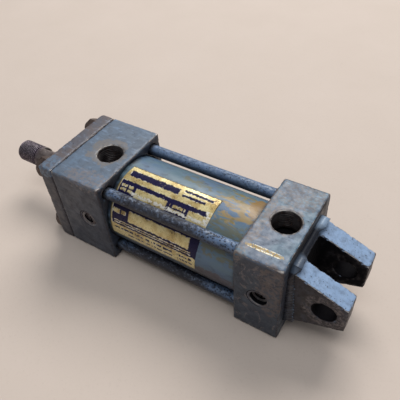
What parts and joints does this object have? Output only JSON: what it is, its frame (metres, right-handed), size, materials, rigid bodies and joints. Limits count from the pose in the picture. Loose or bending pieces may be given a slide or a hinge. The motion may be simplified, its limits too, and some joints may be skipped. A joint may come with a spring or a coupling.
{
  "type": "pneumatic cylinder",
  "caption": "Tie-rod air cylinder with square head and cap, top ports, side cushion needles, sliding threaded rod and a welded rear clevis.",
  "frame": {"origin": "centre of the rear clevis's pin bore, on the cylinder's axis", "axes": "+X from the rod end to the clevis end, +Z out of the two ports, +Y along the clevis pin, away from the cushion needles"},
  "size_m": [0.2603, 0.0636, 0.0636],
  "materials": {
    "block_paint": "blue-grey enamel worn to grey steel on its edges",
    "tube_paint": "blue enamel with yellowed, rubbed patches",
    "tie_rod_paint": "blue enamel chipped to dark steel",
    "clevis_paint": "light blue enamel over rough brown-grey steel",
    "weld_paint": "rippled weld under thin dark blue paint",
    "dark_steel": "aged, oily dark steel",
    "ground_steel": "ground rod, dulled",
    "nut_steel": "browned steel",
    "gland_bronze": "machined bearing bronze",
    "needle_steel": "plain steel screw, dulled",
    "piston_iron": "machined grey iron",
    "seal_rubber": "black nitrile",
    "band_plastic": "filled bearing plastic",
    "foil": "blank foil plate with plain dark bands, rubbed"
  },
  "bodies": {
    "cylinder": {"retainer_plate": "block_paint", "head_block": "block_paint", "cap_block": "block_paint", "cylinder_tube": "tube_paint", "head_tube_gasket": "seal_rubber", "cap_tube_gasket": "seal_rubber", "tie_rod_top_near": "tie_rod_paint", "tie_rod_top_far": "tie_rod_paint", "tie_rod_bottom_near": "tie_rod_paint", "tie_rod_bottom_far": "tie_rod_paint", "tie_rod_nuts": "nut_steel", "clevis_bracket": "clevis_paint", "clevis_weld": "weld_paint", "rod_gland": "gland_bronze", "rod_wiper": "seal_rubber", "rod_seal": "seal_rubber", "gland_o_ring": "seal_rubber", "head_cushion_seal": "seal_rubber", "cap_cushion_seal": "seal_rubber", "head_needle_clip": "needle_steel", "cap_needle_clip": "needle_steel", "name_plate": "foil"},
    "piston_seals": {"head_piston_seal": "seal_rubber", "cap_piston_seal": "seal_rubber", "piston_wear_band": "band_plastic"},
    "rod_assembly": {"piston_rod": "ground_steel", "rod_o_ring": "seal_rubber", "piston": "piston_iron", "cushion_sleeve": "dark_steel", "cushion_spear_nut": "dark_steel"},
    "head_needle_ring": {"head_needle_o_ring": "seal_rubber"},
    "head_needle": {"head_cushion_needle": "needle_steel"},
    "cap_needle_ring": {"cap_needle_o_ring": "seal_rubber"},
    "cap_needle": {"cap_cushion_needle": "needle_steel"}
  },
  "joints": [
    {"name": "rod_slide", "type": "slide", "parent": "cylinder", "child": "piston_seals", "axis": [-1, 0, 0], "range_m": [-0.0214, 0.0421]},
    {"name": "rod_turn", "type": "hinge", "parent": "piston_seals", "child": "rod_assembly", "pos_m": [-0.1895, 0, 0], "axis": [-1, 0, 0], "continuous": true},
    {"name": "head_needle_travel", "type": "slide", "parent": "cylinder", "child": "head_needle_ring", "axis": [0, -1, 0], "range_m": [-0.00106, 0.00106]},
    {"name": "head_needle_turn", "type": "hinge", "parent": "head_needle_ring", "child": "head_needle", "pos_m": [-0.1558, -0.02955, 0], "axis": [0, -1, 0], "range_deg": [-360, 360]},
    {"name": "cap_needle_travel", "type": "slide", "parent": "cylinder", "child": "cap_needle_ring", "axis": [0, -1, 0], "range_m": [-0.00106, 0.00106]},
    {"name": "cap_needle_turn", "type": "hinge", "parent": "cap_needle_ring", "child": "cap_needle", "pos_m": [-0.0336, -0.02705, 0], "axis": [0, -1, 0], "range_deg": [-360, 360]}
  ],
  "couplings": [
    {"joint": "head_needle_turn", "follows": "head_needle_travel", "rad_per_m": 5936.9},
    {"joint": "cap_needle_turn", "follows": "cap_needle_travel", "rad_per_m": 5936.9}
  ]
}
